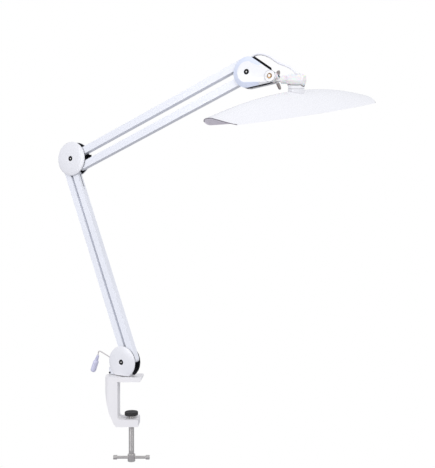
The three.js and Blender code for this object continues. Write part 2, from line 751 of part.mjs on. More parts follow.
// ---------------------------------------------------------------- shade
// Outer skin of the shade: s runs -1..1 along it, t runs -1..1 across it. inset shrinks it all round.
const shadePoint = (s, t, inset = 0) => {
  const halfWidth = SHADE_END_HALF_WIDTH + (SHADE_MID_HALF_WIDTH - SHADE_END_HALF_WIDTH) * (1 - s * s);
  const crown = SHADE_CROWN * (1 - SHADE_CROWN_FALL * s * s);
  const along = SHADE_HALF_LENGTH * s * (1 + SHADE_END_BULGE * (1 - t * t));
  const drop = (SHADE_REAR_DROP - SHADE_REAR_RISE * s * s) * Math.max(0, t) ** 4;
  const rise = crown * (1 - Math.abs(t) ** SHADE_CROWN_POWER) - drop;
  return new THREE.Vector3(along, (halfWidth - inset) * t, rise - inset * (1 - Math.abs(t) ** 3));
};

// A closed solid between two skins that share the grid of s and t.
const betweenSkins = (upper, lower, alongSteps, acrossSteps) => {
  const corners = [];
  for (const skin of [upper, lower]) {
    for (let i = 0; i <= alongSteps; i++) {
      for (let j = 0; j <= acrossSteps; j++) {
        corners.push(...skin((2 * i) / alongSteps - 1, (2 * j) / acrossSteps - 1).toArray());
      }
    }
  }
  const row = acrossSteps + 1;
  const layer = row * (alongSteps + 1);
  const faces = [];
  const quad = (a, b, c, d) => faces.push(a, b, c, a, c, d);
  for (let i = 0; i < alongSteps; i++) {
    for (let j = 0; j < acrossSteps; j++) {
      const a = i * row + j;
      quad(a, a + row, a + row + 1, a + 1);
      quad(layer + a, layer + a + 1, layer + a + row + 1, layer + a + row);
    }
    const last = i * row + acrossSteps;
    quad(i * row, layer + i * row, layer + (i + 1) * row, (i + 1) * row);
    quad(last, last + row, layer + last + row, layer + last);
  }
  for (let j = 0; j < acrossSteps; j++) {
    const end = alongSteps * row + j;
    quad(j, j + 1, layer + j + 1, layer + j);
    quad(end, layer + end, layer + end + 1, end + 1);
  }
  const g = new THREE.BufferGeometry();
  g.setAttribute("position", new THREE.BufferAttribute(new Float32Array(corners), 3));
  g.setIndex(faces);
  return g;
};

const roundedPanel = (halfLength, halfWidth, corner, z0, z1) => {
  const shape = new THREE.Shape();
  const [x, y] = [halfLength - corner, halfWidth - corner];
  shape.absarc(x, y, corner, 0, Math.PI / 2, false);
  shape.absarc(-x, y, corner, Math.PI / 2, Math.PI, false);
  shape.absarc(-x, -y, corner, Math.PI, 1.5 * Math.PI, false);
  shape.absarc(x, -y, corner, 1.5 * Math.PI, 2 * Math.PI, false);
  shape.closePath();
  const panel = new THREE.ExtrudeGeometry(shape, { depth: z1 - z0, bevelEnabled: false, curveSegments: 6 });
  return panel.translate(0, 0, z0);
};

const buildShade = (parent) => {
  const outer = (s, t) => shadePoint(s, t);
  const inner = (s, t) => shadePoint(s, t, SHADE_WALL);
  const floorOf = (s, t) => shadePoint(s, t).setZ(-60);
  const shell = betweenSkins(outer, inner, SKIN_STEPS, SKIN_STEPS / 2);
  const postTop = SHADE_CROWN + NECK_LENGTH - 14 - GAP;
  const clearOf = (s, t) => shadePoint(s, t).add(new THREE.Vector3(0, 0, GAP));
  const belowCrown = betweenSkins(clearOf, floorOf, SKIN_STEPS, SKIN_STEPS / 2);
  put(parent, "shade_shell", shell, plastic);
  const column = rodZ(0, 0, NECK_RADIUS, SHADE_CROWN - 12, postTop, 28);
  put(parent, "shade_neck", cut(column, belowCrown), plastic);

  const shelf = TRAY_TOP - 2;
  const hollow = roundedPanel(TRAY_HALF_LENGTH - 2, TRAY_HALF_WIDTH - 2, TRAY_CORNER - 2, 0, shelf);
  const posts = [-1, 1].map((side) => rodZ(side * POST_AT, 0, 5, shelf + 1, POST_TOP, 16));
  const tray = cut(roundedPanel(TRAY_HALF_LENGTH, TRAY_HALF_WIDTH, TRAY_CORNER, 1, TRAY_TOP), hollow);
  put(parent, "lamp_tray", join(tray, ...posts), plastic);
  const fit = [TRAY_HALF_LENGTH - 2 - GAP, TRAY_HALF_WIDTH - 2 - GAP, TRAY_CORNER - 2];
  put(parent, "led_board", roundedPanel(...fit, shelf - 1.2 - GAP, shelf - GAP), board);
  const buttonAt = TRAY_HALF_LENGTH - 16;
  const buttonHole = rodZ(buttonAt, 0, 5 + GAP, -2, 6, 20);
  put(parent, "diffuser", cut(roundedPanel(...fit, 1.4, 3.4), buttonHole), opal);
  put(parent, "switch_button", rodZ(buttonAt, 0, 5, -0.6, 3.2, 20), black);
};

// ---------------------------------------------------------------- assembly
buildClamp(group);
buildClampScrew(group);

const armPlane = place(group, 0, 0, AXIS_HEIGHT);
armPlane.rotation.z = rad(ARM_YAW);
buildBase(armPlane);
buildLead(armPlane);

const lowerLeft = buildBar(
  armPlane,
  "lower_bar_left",
  BASE_PINS[0],
  sum(ELBOW, ELBOW_LOWER_PINS[0]),
  LOWER_BAR_WIDTH,
);
const lowerRight = buildBar(
  armPlane,
  "lower_bar_right",
  BASE_PINS[1],
  sum(ELBOW, ELBOW_LOWER_PINS[1]),
  LOWER_BAR_WIDTH,
  true,
);
buildSpring(lowerLeft, "lower_spring");
buildChannelCable(lowerRight, "lower_cable");

buildElbow(place(armPlane, ELBOW[0], 0, ELBOW[1]));

const upperTop = buildBar(
  armPlane,
  "upper_bar_top",
  sum(ELBOW, ELBOW_UPPER_PINS[0]),
  sum(HEAD, HEAD_PINS[0]),
  UPPER_BAR_WIDTH,
);
const upperBottom = buildBar(
  armPlane,
  "upper_bar_bottom",
  sum(ELBOW, ELBOW_UPPER_PINS[1]),
  sum(HEAD, HEAD_PINS[1]),
  UPPER_BAR_WIDTH,
);
buildChannelCable(upperTop, "upper_cable");
buildSpring(upperBottom, "upper_spring");

const head = place(armPlane, HEAD[0], 0, HEAD[1]);
buildHead(head);
buildWingNut(head);
put(head, "head_cable", tube(HEAD_CABLE_ROUTE, HEAD_CABLE_RADIUS, 28), cable);

const knuckle = place(head, TILT_AT[0], 0, TILT_AT[1]);
knuckle.rotation.y = rad(TILT);
buildKnuckle(knuckle);
buildCableGland(knuckle);

const neck = place(knuckle, (BARREL_START + BARREL_END) / 2, 0, -TUBE_DROP);
neck.rotation.x = rad(ROLL);
buildNeckSaddle(neck);

const shade = place(neck, 0, 0, -NECK_LENGTH - SHADE_CROWN);
shade.rotation.z = rad(SWIVEL);
buildShade(shade);

export default group;
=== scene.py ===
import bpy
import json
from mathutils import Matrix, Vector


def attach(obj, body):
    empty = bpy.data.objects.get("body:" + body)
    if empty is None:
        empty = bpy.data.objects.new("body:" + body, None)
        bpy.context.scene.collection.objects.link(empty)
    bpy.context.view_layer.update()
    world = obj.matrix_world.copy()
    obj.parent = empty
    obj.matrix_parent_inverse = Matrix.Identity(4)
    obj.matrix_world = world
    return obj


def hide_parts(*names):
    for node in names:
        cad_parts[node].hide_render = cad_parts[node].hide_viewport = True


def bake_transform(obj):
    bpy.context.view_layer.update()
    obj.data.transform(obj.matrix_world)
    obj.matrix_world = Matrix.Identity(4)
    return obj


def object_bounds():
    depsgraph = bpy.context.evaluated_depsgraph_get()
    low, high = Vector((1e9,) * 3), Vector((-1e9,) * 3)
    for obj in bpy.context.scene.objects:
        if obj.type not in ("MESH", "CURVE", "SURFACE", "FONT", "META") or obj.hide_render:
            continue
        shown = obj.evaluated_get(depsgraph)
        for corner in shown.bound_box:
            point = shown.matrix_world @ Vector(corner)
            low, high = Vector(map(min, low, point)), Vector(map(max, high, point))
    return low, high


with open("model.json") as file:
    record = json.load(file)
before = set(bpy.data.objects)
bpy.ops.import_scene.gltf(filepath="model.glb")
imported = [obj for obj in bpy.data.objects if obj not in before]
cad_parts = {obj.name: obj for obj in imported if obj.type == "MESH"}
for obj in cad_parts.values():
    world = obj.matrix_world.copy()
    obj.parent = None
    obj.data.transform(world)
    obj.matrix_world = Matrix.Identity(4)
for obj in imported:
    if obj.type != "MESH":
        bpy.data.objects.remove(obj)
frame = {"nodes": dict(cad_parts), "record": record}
cad_box = [list(v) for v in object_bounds()]

import json
import math

import bmesh
import bpy
from mathutils import Matrix, Vector

# -------------------------------------------------- the CAD model's own dimensions, in mm
ARM_YAW = -29.2
AXIS_HEIGHT = 39.5
ARM_LENGTH = 450
LOWER_ANGLE = 107.5
UPPER_ANGLE = 18.4
TILT_AT = (48.1, -12.7)
UPPER_EDGE = 27.2
TILT = 7.05
ROLL = 14.8
SWIVEL = 72.9
TUBE_DROP = 4.2
BARREL_MIDDLE = 48
NECK_LENGTH = 18.9
SHADE_CROWN = 37.2
SHADE_WALL = 2.2
COVER_FOOT = 8.3
COVER_HEIGHT = 4.6
RECESS_RADIUS = 6
RECESS_DEPTH = 2.4
BASE_RADIUS = 33
BASE_CHORD = 27.9
ELBOW_RADIUS = 36.7
HEAD_RADIUS = 29
NOSE_RADIUS = 11
BASE_PINS = ((2.6, 12.7), (25.8, 7.1))
ELBOW_LOWER_PINS = ((-19.75, -15.3), (3.45, -20.9))
ELBOW_UPPER_PINS = ((21.8, 13.2), (21.8, -18))
HEAD_PINS = ((-11, 20.6), (-11, -10.6))

LEAD_ROUTE = (
    (-27.2, 0.5, -1.5), (-31.5, 0.6, -0.4), (-36.2, 1, 2.2), (-41.6, 1.5, 5.5), (-48.5, 2.2, 8.1),
    (-55.4, 3, 10.4), (-61, 3.8, 12.3), (-66, 4.6, 13.9), (-69.8, 5.3, 14.6), (-72.8, 5.8, 13.4),
    (-74.4, 6, 10.8), (-74.9, 6, 8), (-75.1, 6, 5.6),
)
LEAD_RADIUS = 1.25
CONNECTOR_TOP = (-75.2, 6, 5.2)
CONNECTOR_BOTTOM = (-89.6, 6, -31)
HEAD_CABLE_ROUTE = (
    (2.7, 0, 23.2), (4.4, 0.1, 27.6), (8, 0.5, 31.2), (13.4, 1.1, 33.2), (20, 1.8, 33.6), (27.5, 2.6, 32.2),
    (35, 3.2, 29.2), (42.5, 3.4, 24.8), (50, 3, 19.4), (57.5, 2.4, 14), (65, 1.8, 9.8), (72.5, 1.2, 6.6),
    (79.5, 0.7, 3), (85, 0.3, -0.9), (89.6, 0.1, -4.4), (93.4, 0, -8.1),
)
HEAD_CABLE_RADIUS = 2.3
SCREW_X = 14

# -------------------------------------------------- frames, from mm to the row frame in metres
def polar(length, degrees):
    return Vector((length * math.cos(math.radians(degrees)), 0, length * math.sin(math.radians(degrees))))


def shifted(x, y, z):
    return Matrix.Translation((x, y, z))


def turned(degrees, axis):
    return Matrix.Rotation(math.radians(degrees), 4, axis)


ELBOW_AT = polar(ARM_LENGTH, LOWER_ANGLE)
HEAD_AT = ELBOW_AT + polar(ARM_LENGTH, UPPER_ANGLE)
ROW = Matrix.Scale(0.001, 4)
ARM = ROW @ shifted(0, 0, AXIS_HEIGHT) @ turned(ARM_YAW, "Z")
ELBOW = ARM @ Matrix.Translation(ELBOW_AT)
HEAD = ARM @ Matrix.Translation(HEAD_AT)
KNUCKLE = HEAD @ shifted(TILT_AT[0], 0, TILT_AT[1]) @ turned(TILT, "Y")
NECK = KNUCKLE @ shifted(BARREL_MIDDLE, 0, -TUBE_DROP) @ turned(ROLL, "X")
SHADE = NECK @ shifted(0, 0, -NECK_LENGTH - SHADE_CROWN) @ turned(SWIVEL, "Z")

BODY_OF = {node: body for body, nodes in frame["record"]["behaviour"]["bodies"].items() for node in nodes}

# -------------------------------------------------- camera
CAMERA_AT = (0.1944, -1.4759, 0.3225)
CAMERA_PITCH = -0.64
CAMERA_LENS = 54.35
FILM_WIDTH = 36
camera_data = bpy.data.cameras.new("camera")
camera_data.lens = CAMERA_LENS
camera_data.sensor_width = FILM_WIDTH
camera_data.clip_start = 0.01
camera = bpy.data.objects.new("camera", camera_data)
camera.location = CAMERA_AT
camera.rotation_euler = (math.radians(90 + CAMERA_PITCH), 0, 0)
bpy.context.scene.collection.objects.link(camera)
bpy.context.scene.camera = camera

# -------------------------------------------------- materials
BROAD_GRAIN = 18
COAT_ROUGHNESS = 0.12
BUMP_STRENGTH = 0.35


def finish(name, colour, rough, metal=0.0, coat=0.0, grain=400, depth=0.0, vary=0.03, spread=0.08,
           stretch=None, **sockets):
    """A shader whose colour and roughness drift with noise, with a fine bump where depth is given."""
    material = bpy.data.materials.new(name)
    material.use_nodes = True
    nodes, links = material.node_tree.nodes, material.node_tree.links
    shader = nodes["Principled BSDF"]
    shader.inputs["Metallic"].default_value = metal
    shader.inputs["Coat Weight"].default_value = coat
    shader.inputs["Coat Roughness"].default_value = COAT_ROUGHNESS
    for socket, value in sockets.items():
        shader.inputs[socket.replace("_", " ")].default_value = value
    place = nodes.new("ShaderNodeTexCoord")
    mapping = nodes.new("ShaderNodeMapping")
    mapping.inputs["Scale"].default_value = stretch or (1, 1, 1)
    links.new(place.outputs["Object"], mapping.inputs["Vector"])
    broad = nodes.new("ShaderNodeTexNoise")
    broad.inputs["Scale"].default_value = BROAD_GRAIN
    broad.inputs["Detail"].default_value = 4
    links.new(mapping.outputs["Vector"], broad.inputs["Vector"])
    tint = nodes.new("ShaderNodeMix")
    tint.data_type = "RGBA"
    tint.inputs["A"].default_value = (*[c * (1 - vary) for c in colour], 1)
    tint.inputs["B"].default_value = (*[min(1, c * (1 + vary)) for c in colour], 1)
    links.new(broad.outputs["Fac"], tint.inputs["Factor"])
    links.new(tint.outputs["Result"], shader.inputs["Base Color"])
    fine = nodes.new("ShaderNodeTexNoise")
    fine.inputs["Scale"].default_value = grain
    fine.inputs["Detail"].default_value = 3
    links.new(mapping.outputs["Vector"], fine.inputs["Vector"])
    sheen = nodes.new("ShaderNodeMapRange")
    sheen.inputs["To Min"].default_value = max(0.02, rough - spread)
    sheen.inputs["To Max"].default_value = rough + spread
    links.new(fine.outputs["Fac"], sheen.inputs["Value"])
    links.new(sheen.outputs["Result"], shader.inputs["Roughness"])
    if depth:
        bump = nodes.new("ShaderNodeBump")
        bump.inputs["Strength"].default_value = BUMP_STRENGTH
        bump.inputs["Distance"].default_value = depth
        links.new(fine.outputs["Fac"], bump.inputs["Height"])
        links.new(bump.outputs["Normal"], shader.inputs["Normal"])
    return material


BRUSHED = (1, 1, 14)
PAINT = finish("white_paint", (0.85, 0.865, 0.92), 0.34, coat=0.25, grain=900, depth=0.00008)
JAW = finish("clamp_paint", (0.86, 0.845, 0.855), 0.38, coat=0.2, grain=700, depth=0.0001)
# painted shade: a greyer copy of the white plastic for the base and elbow covers, standing in for the shading
# on their faces
DISC_PAINTED_SHADE = finish("disc_plastic_painted_shade", (0.82, 0.82, 0.85), 0.3, coat=0.3, grain=1200, depth=0.00004)
SOFT = finish("white_plastic", (0.9, 0.9, 0.91), 0.3, coat=0.35, grain=1100, depth=0.00004)
# painted shade: a greyer lavender copy of the white plastic for the sloped bevel of the head cover's round
# end
RIM_PAINTED_SHADE = finish("cover_rim_painted_shade", (0.74, 0.79, 0.93), 0.34, coat=0.2, grain=1100, depth=0.00004)
SHELL = finish("shade_plastic", (0.83, 0.83, 0.852), 0.27, coat=0.45, grain=700, depth=0.00003, vary=0.012)
# painted shadow: near-black for the bead that draws the shaded edge of each open end
LIP_PAINTED_SHADOW = finish("shade_lip_painted_shadow", (0.16, 0.14, 0.17), 0.5, grain=700, depth=0.00004)
# painted shade: a mauve-tinted copy of the shade plastic for its inner faces, matched to how the shaded
# inside looks
INSIDE_PAINTED_SHADE = finish("shade_inside_painted_shade", (0.93, 0.87, 0.93), 0.5, grain=700, depth=0.00004)
BLACK = finish("black_paint", (0.008, 0.009, 0.012), 0.42, grain=900, depth=0.00006, Specular_IOR_Level=0.25)
BLACK_PLASTIC = finish("black_plastic", (0.02, 0.02, 0.022), 0.5, grain=900, depth=0.00008)
PIT = finish("matt_black", (0.006, 0.006, 0.008), 0.8, grain=900, depth=0.00006, Specular_IOR_Level=0.15)
RUBBER = finish("rubber", (0.02, 0.02, 0.02), 0.75, grain=500, depth=0.00015)
STEEL = finish("steel", (0.6, 0.58, 0.56), 0.3, metal=1, grain=300, stretch=BRUSHED, spread=0.12)
WING = finish("wing_steel", (0.34, 0.3, 0.28), 0.36, metal=1, grain=260, depth=0.0001, spread=0.15)
ZINC = finish("zinc", (0.7, 0.7, 0.72), 0.28, metal=1, grain=500, spread=0.1)
BRASS = finish("brass", (0.3, 0.18, 0.08), 0.3, metal=1, grain=600, spread=0.1)
DARK_BRASS = finish("dark_brass", (0.2, 0.12, 0.05), 0.35, metal=1, grain=600, spread=0.1)
# painted highlight: the pale cap in a bolt's middle stands for the glint on the dark bolt head
PALE_PAINTED_HIGHLIGHT = finish("bolt_cap_painted_highlight", (0.92, 0.9, 0.86), 0.25, coat=0.4, grain=900)
CLEAR = finish("milky_plastic", (0.95, 0.93, 0.93), 0.3, coat=0.3, grain=700, depth=0.00005, IOR=1.46,
               Transmission_Weight=0.12, Subsurface_Weight=0.25, Subsurface_Scale=0.004)
CABLE = finish("cable", (0.88, 0.88, 0.93), 0.42, grain=1500, depth=0.00005)
LEAD = finish("lead", (0.6, 0.57, 0.57), 0.45, grain=1500, depth=0.00005)
GREY = finish("grey_plastic", (0.64, 0.64, 0.8), 0.42, grain=900, depth=0.00006)
OPAL = finish("opal", (0.93, 0.93, 0.9), 0.45, grain=1500, depth=0.00004, Transmission_Weight=0.3,
              Subsurface_Weight=0.3, Subsurface_Scale=0.003)
BOARD = finish("board", (0.86, 0.86, 0.8), 0.5, grain=600)
CHIP = finish("led_chip", (0.9, 0.75, 0.2), 0.4, grain=900)

# -------------------------------------------------- mesh helpers
SMOOTH_DEGREES = 34
SMOOTH = math.radians(SMOOTH_DEGREES)
BOX_QUADS = ((0, 3, 2, 1), (4, 5, 6, 7), (0, 1, 5, 4), (1, 2, 6, 5), (2, 3, 7, 6), (3, 0, 4, 7))


def add_piece(name, mesh, look, node=None, body=None, slot=None, rides=True):
    """Links a mesh that is already in the row frame, with its body and the node it replaces. The slot
    argument is not used.
    """
    piece = bpy.data.objects.new(name, mesh)
    bpy.context.scene.collection.objects.link(piece)
    for material in look if isinstance(look, (list, tuple)) else [look]:
        mesh.materials.append(material)
    if rides:
        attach(piece, body or BODY_OF[node])
    if node:
        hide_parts(node)
    return piece


def mesh_from(name, points, faces, matrix, smooth=SMOOTH):
    """A mesh from points in a local frame, welded, facing outward and shaded smooth up to an angle."""
    mesh = bpy.data.meshes.new(name)
    mesh.from_pydata([tuple(p) for p in points], [], faces)
    mesh.transform(matrix)
    clean = bmesh.new()
    clean.from_mesh(mesh)
    bmesh.ops.remove_doubles(clean, verts=clean.verts, dist=1e-7)
    bmesh.ops.recalc_face_normals(clean, faces=clean.faces)
    clean.to_mesh(mesh)
    clean.free()
    mesh.shade_smooth()
    mesh.set_sharp_from_angle(angle=smooth)
    return mesh


def bevel(piece, width, segments=3):
    cut = piece.modifiers.new("edges", "BEVEL")
    cut.width = width * 0.001
    cut.segments = segments
    cut.limit_method = "ANGLE"
    cut.angle_limit = SMOOTH
    cut.harden_normals = True


def refine(node, look, width):
    """A copy of a CAD node's solid with rounded edges and smooth shading, in place of the node."""
    mesh = frame["nodes"][node].data.copy()
    mesh.materials.clear()
    clean = bmesh.new()
    clean.from_mesh(mesh)
    bmesh.ops.remove_doubles(clean, verts=clean.verts, dist=1e-6)
    bmesh.ops.dissolve_limit(clean, angle_limit=math.radians(1.0), verts=clean.verts, edges=clean.edges)
    clean.to_mesh(mesh)
    clean.free()
    for polygon in mesh.polygons:
        polygon.material_index = 0
    mesh.shade_smooth()
    mesh.set_sharp_from_angle(angle=SMOOTH)
    piece = add_piece(f"{node}_finished", mesh, look, node)
    if width:
        bevel(piece, width)


def lathe(profile, sides, side=1):
    """A closed profile of (radius, height) pairs turned about Y. With side -1 it faces -Y."""
    points, faces = [], []
    count = len(profile)
    for i in range(sides):
        angle = 2 * math.pi * i / sides
        for radius, height in profile:
            points.append((radius * math.cos(angle), side * height, radius * math.sin(angle)))
    for i in range(sides):
        for j in range(count):
            a = i * count + j
            b = i * count + (j + 1) % count
            c = ((i + 1) % sides) * count + (j + 1) % count
            d = ((i + 1) % sides) * count + j
            faces.append((a, b, c, d))
    return points, faces


def grid(surface, along, across):
    """A closed solid between surface(u, v, 0) and surface(u, v, 1) for u and v from -1 to 1."""
    points, faces = [], []
    for layer in (0, 1):
        for i in range(along + 1):
            for j in range(across + 1):
                points.append(surface(2 * i / along - 1, 2 * j / across - 1, layer))
    row = across + 1
    second = row * (along + 1)
    for i in range(along):
        for j in range(across):
            a = i * row + j
            faces.append((a, a + row, a + row + 1, a + 1))
            faces.append((second + a, second + a + 1, second + a + row + 1, second + a + row))
        low, high = i * row, i * row + across
        faces.append((low, second + low, second + low + row, low + row))
        faces.append((high, high + row, second + high + row, second + high))
    for j in range(across):
        low, high = j, along * row + j
        faces.append((low, low + 1, second + low + 1, second + low))
        faces.append((high, second + high, second + high + 1, high + 1))
    return points, faces


def catmull(points, per_span):
    """Points along a centripetal Catmull-Rom curve through the given ones."""
    route = [Vector(p) for p in points]
    ends = [2 * route[0] - route[1], *route, 2 * route[-1] - route[-2]]
    found = []
    for i in range(1, len(ends) - 2):
        p0, p1, p2, p3 = ends[i - 1:i + 3]
        t0 = 0
        t1 = t0 + (p1 - p0).length ** 0.5
        t2 = t1 + (p2 - p1).length ** 0.5
        t3 = t2 + (p3 - p2).length ** 0.5
        for k in range(per_span):
            t = t1 + (t2 - t1) * k / per_span
            a1 = p0 * ((t1 - t) / (t1 - t0)) + p1 * ((t - t0) / (t1 - t0))
            a2 = p1 * ((t2 - t) / (t2 - t1)) + p2 * ((t - t1) / (t2 - t1))
            a3 = p2 * ((t3 - t) / (t3 - t2)) + p3 * ((t - t2) / (t3 - t2))
            b1 = a1 * ((t2 - t) / (t2 - t0)) + a2 * ((t - t0) / (t2 - t0))
            b2 = a2 * ((t3 - t) / (t3 - t1)) + a3 * ((t - t1) / (t3 - t1))
            found.append(b1 * ((t2 - t) / (t2 - t1)) + b2 * ((t - t1) / (t2 - t1)))
    return [*found, route[-1]]


def tube(route, radius, sides):
    """A capped tube through points, swept with a frame that doesn't twist."""
    points, faces = [], []
    normal = None
    last = len(route) - 1
    for i, centre in enumerate(route):
        ahead = (route[min(i + 1, last)] - route[max(i - 1, 0)]).normalized()
        if normal is None:
            normal = ahead.orthogonal().normalized()
        normal = (normal - ahead * normal.dot(ahead)).normalized()
        other = ahead.cross(normal)
        for k in range(sides):
            angle = 2 * math.pi * k / sides
            points.append(centre + (normal * math.cos(angle) + other * math.sin(angle)) * radius)
    for i in range(last):
        for k in range(sides):
            a, b = i * sides + k, i * sides + (k + 1) % sides
            faces.append((a, b, b + sides, a + sides))
    faces.append(tuple(range(sides)))
    faces.append(tuple(last * sides + k for k in reversed(range(sides))))
    return points, faces


def add_turned(name, profile, sides, side, matrix, look, node=None, **ties):
    """A piece turned on a lathe about a local frame's Y axis."""
    points, faces = lathe(profile, sides, side)
    return add_piece(name, mesh_from(name, points, faces, matrix), look, node, **ties)


def add_tube(name, route, radius, sides, matrix, look, node=None, **ties):
    """A piece swept along a route in a local frame."""
    points, faces = tube(route, radius, sides)
    return add_piece(name, mesh_from(name, points, faces, matrix), look, node, **ties)


def add_boxes(name, corner_sets, matrix, look, **ties):
    """A piece made of boxes, each from eight corners: four round one face, then four round the other."""
    points, faces = [], []
    for corners in corner_sets:
        first = len(points)
        points += corners
        faces += [tuple(first + k for k in quad) for quad in BOX_QUADS]
    return add_piece(name, mesh_from(name, points, faces, matrix), look, **ties)


# -------------------------------------------------- the free lead and its connector
lead_route = [ARM @ p for p in catmull(LEAD_ROUTE, 3)]
lead_curve = bpy.data.curves.new("lead", "CURVE")
lead_curve.dimensions = "3D"
lead_curve.bevel_depth = LEAD_RADIUS * 0.001
lead_curve.bevel_resolution = 5
lead_curve.use_fill_caps = True
lead_spline = lead_curve.splines.new("POLY")
lead_spline.points.add(len(lead_route) - 1)
for point, place in zip(lead_spline.points, lead_route):
    point.co = (*place, 1)
lead_curve.materials.append(LEAD)
lead = bpy.data.objects.new("supply_lead", lead_curve)
bpy.context.scene.collection.objects.link(lead)
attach(lead, "base")
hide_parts("dc_lead")


def build_connector():
    """Slim plug: a ribbed strain relief, a flare, a grooved grip and a bored end."""
    top, bottom = Vector(CONNECTOR_TOP), Vector(CONNECTOR_BOTTOM)
    axis = bottom - top
    length = axis.length
    place = Matrix.Translation(top) @ axis.to_track_quat("Y", "Z").to_matrix().to_4x4()
    neck = [(0.01, 0), (1.9, 0)]
    ribs = 5
    for i in range(ribs):
        start = 0.6 + i * 2.1
        crest = 2.9 + 0.18 * i
        dip = crest - 0.6
        neck += [(crest, start), (crest, start + 1.2), (dip, start + 1.4), (dip, start + 2)]
    neck += [(3.7, 11.4), (4.4, 12.4), (5.3, 13.6), (5.8, 15), (6, 16.6)]
    grooves = 3
    for i in range(grooves):
        at = 20 + i * 3.2
        neck += [(6, at), (5.6, at + 0.5), (5.6, at + 1.3), (6, at + 1.8)]
    neck += [(6, length - 6.5), (5.8, length - 3.6), (5.2, length - 1.4), (4.3, length - 0.3), (3.6, length),
             (2.8, length), (2.8, length - 8.8), (0.01, length - 8.8)]
    return add_turned("connector", neck, 48, 1, ARM @ place, GREY, "dc_connector")


connector = build_connector()
refine("lead_grommet", BLACK_PLASTIC, 0.4)

# -------------------------------------------------- joint covers
DOME_STEPS = 14
DOME_RIM = 1.1


def dome_profile(radius):
    """A disc cover's outline: a short rim, a low dome, and a recess for the bolt."""
    top = COVER_FOOT + COVER_HEIGHT
    flat = RECESS_RADIUS + 1.2
    profile = [(RECESS_RADIUS - 0.6, COVER_FOOT), (radius - 0.5, COVER_FOOT), (radius, COVER_FOOT + 0.4),
               (radius, COVER_FOOT + DOME_RIM)]
    for i in range(1, DOME_STEPS + 1):
        angle = i / DOME_STEPS * math.pi / 2
        profile.append((radius - (radius - flat) * (1 - math.cos(angle)),
                        COVER_FOOT + DOME_RIM + (COVER_HEIGHT - DOME_RIM) * math.sin(angle)))
    profile += [(RECESS_RADIUS, top - 0.05), (RECESS_RADIUS - 0.4, top - 0.25),
                (RECESS_RADIUS - 0.8, top - RECESS_DEPTH)]
    return profile


def cut_below(mesh, matrix, height):
    """Slices off what is below a height in a joint's frame, and closes the cut."""
    cutter = bmesh.new()
    cutter.from_mesh(mesh)
    geometry = cutter.verts[:] + cutter.edges[:] + cutter.faces[:]
    cut = bmesh.ops.bisect_plane(cutter, geom=geometry, plane_co=matrix @ Vector((0, 0, height)),
                                 plane_no=(0, 0, 1), clear_inner=True)
    edges = [e for e in cut["geom_cut"] if isinstance(e, bmesh.types.BMEdge)]
    bmesh.ops.edgeloop_fill(cutter, edges=edges)
    bmesh.ops.recalc_face_normals(cutter, faces=cutter.faces)
    cutter.to_mesh(mesh)
    cutter.free()
    mesh.shade_smooth()
    mesh.set_sharp_from_angle(angle=SMOOTH)


for joint, radius, matrix in (("base", BASE_RADIUS, ARM), ("elbow", ELBOW_RADIUS, ELBOW)):
    for side, face in ((-1, "front"), (1, "rear")):
        points, faces = lathe(dome_profile(radius), 128, side)
        mesh = mesh_from(f"{joint}_dome_{face}", points, faces, matrix)
        if joint == "base":
            cut_below(mesh, matrix, -BASE_CHORD)
        add_piece(f"{joint}_dome_{face}", mesh, DISC_PAINTED_SHADE, f"{joint}_cover_{face}")
        refine(f"{joint}_plate_{face}", BLACK, 0.15)

# along the head cover, the point where its painted shade bevel stops
PAINTED_SHADE_RIM_END = 27


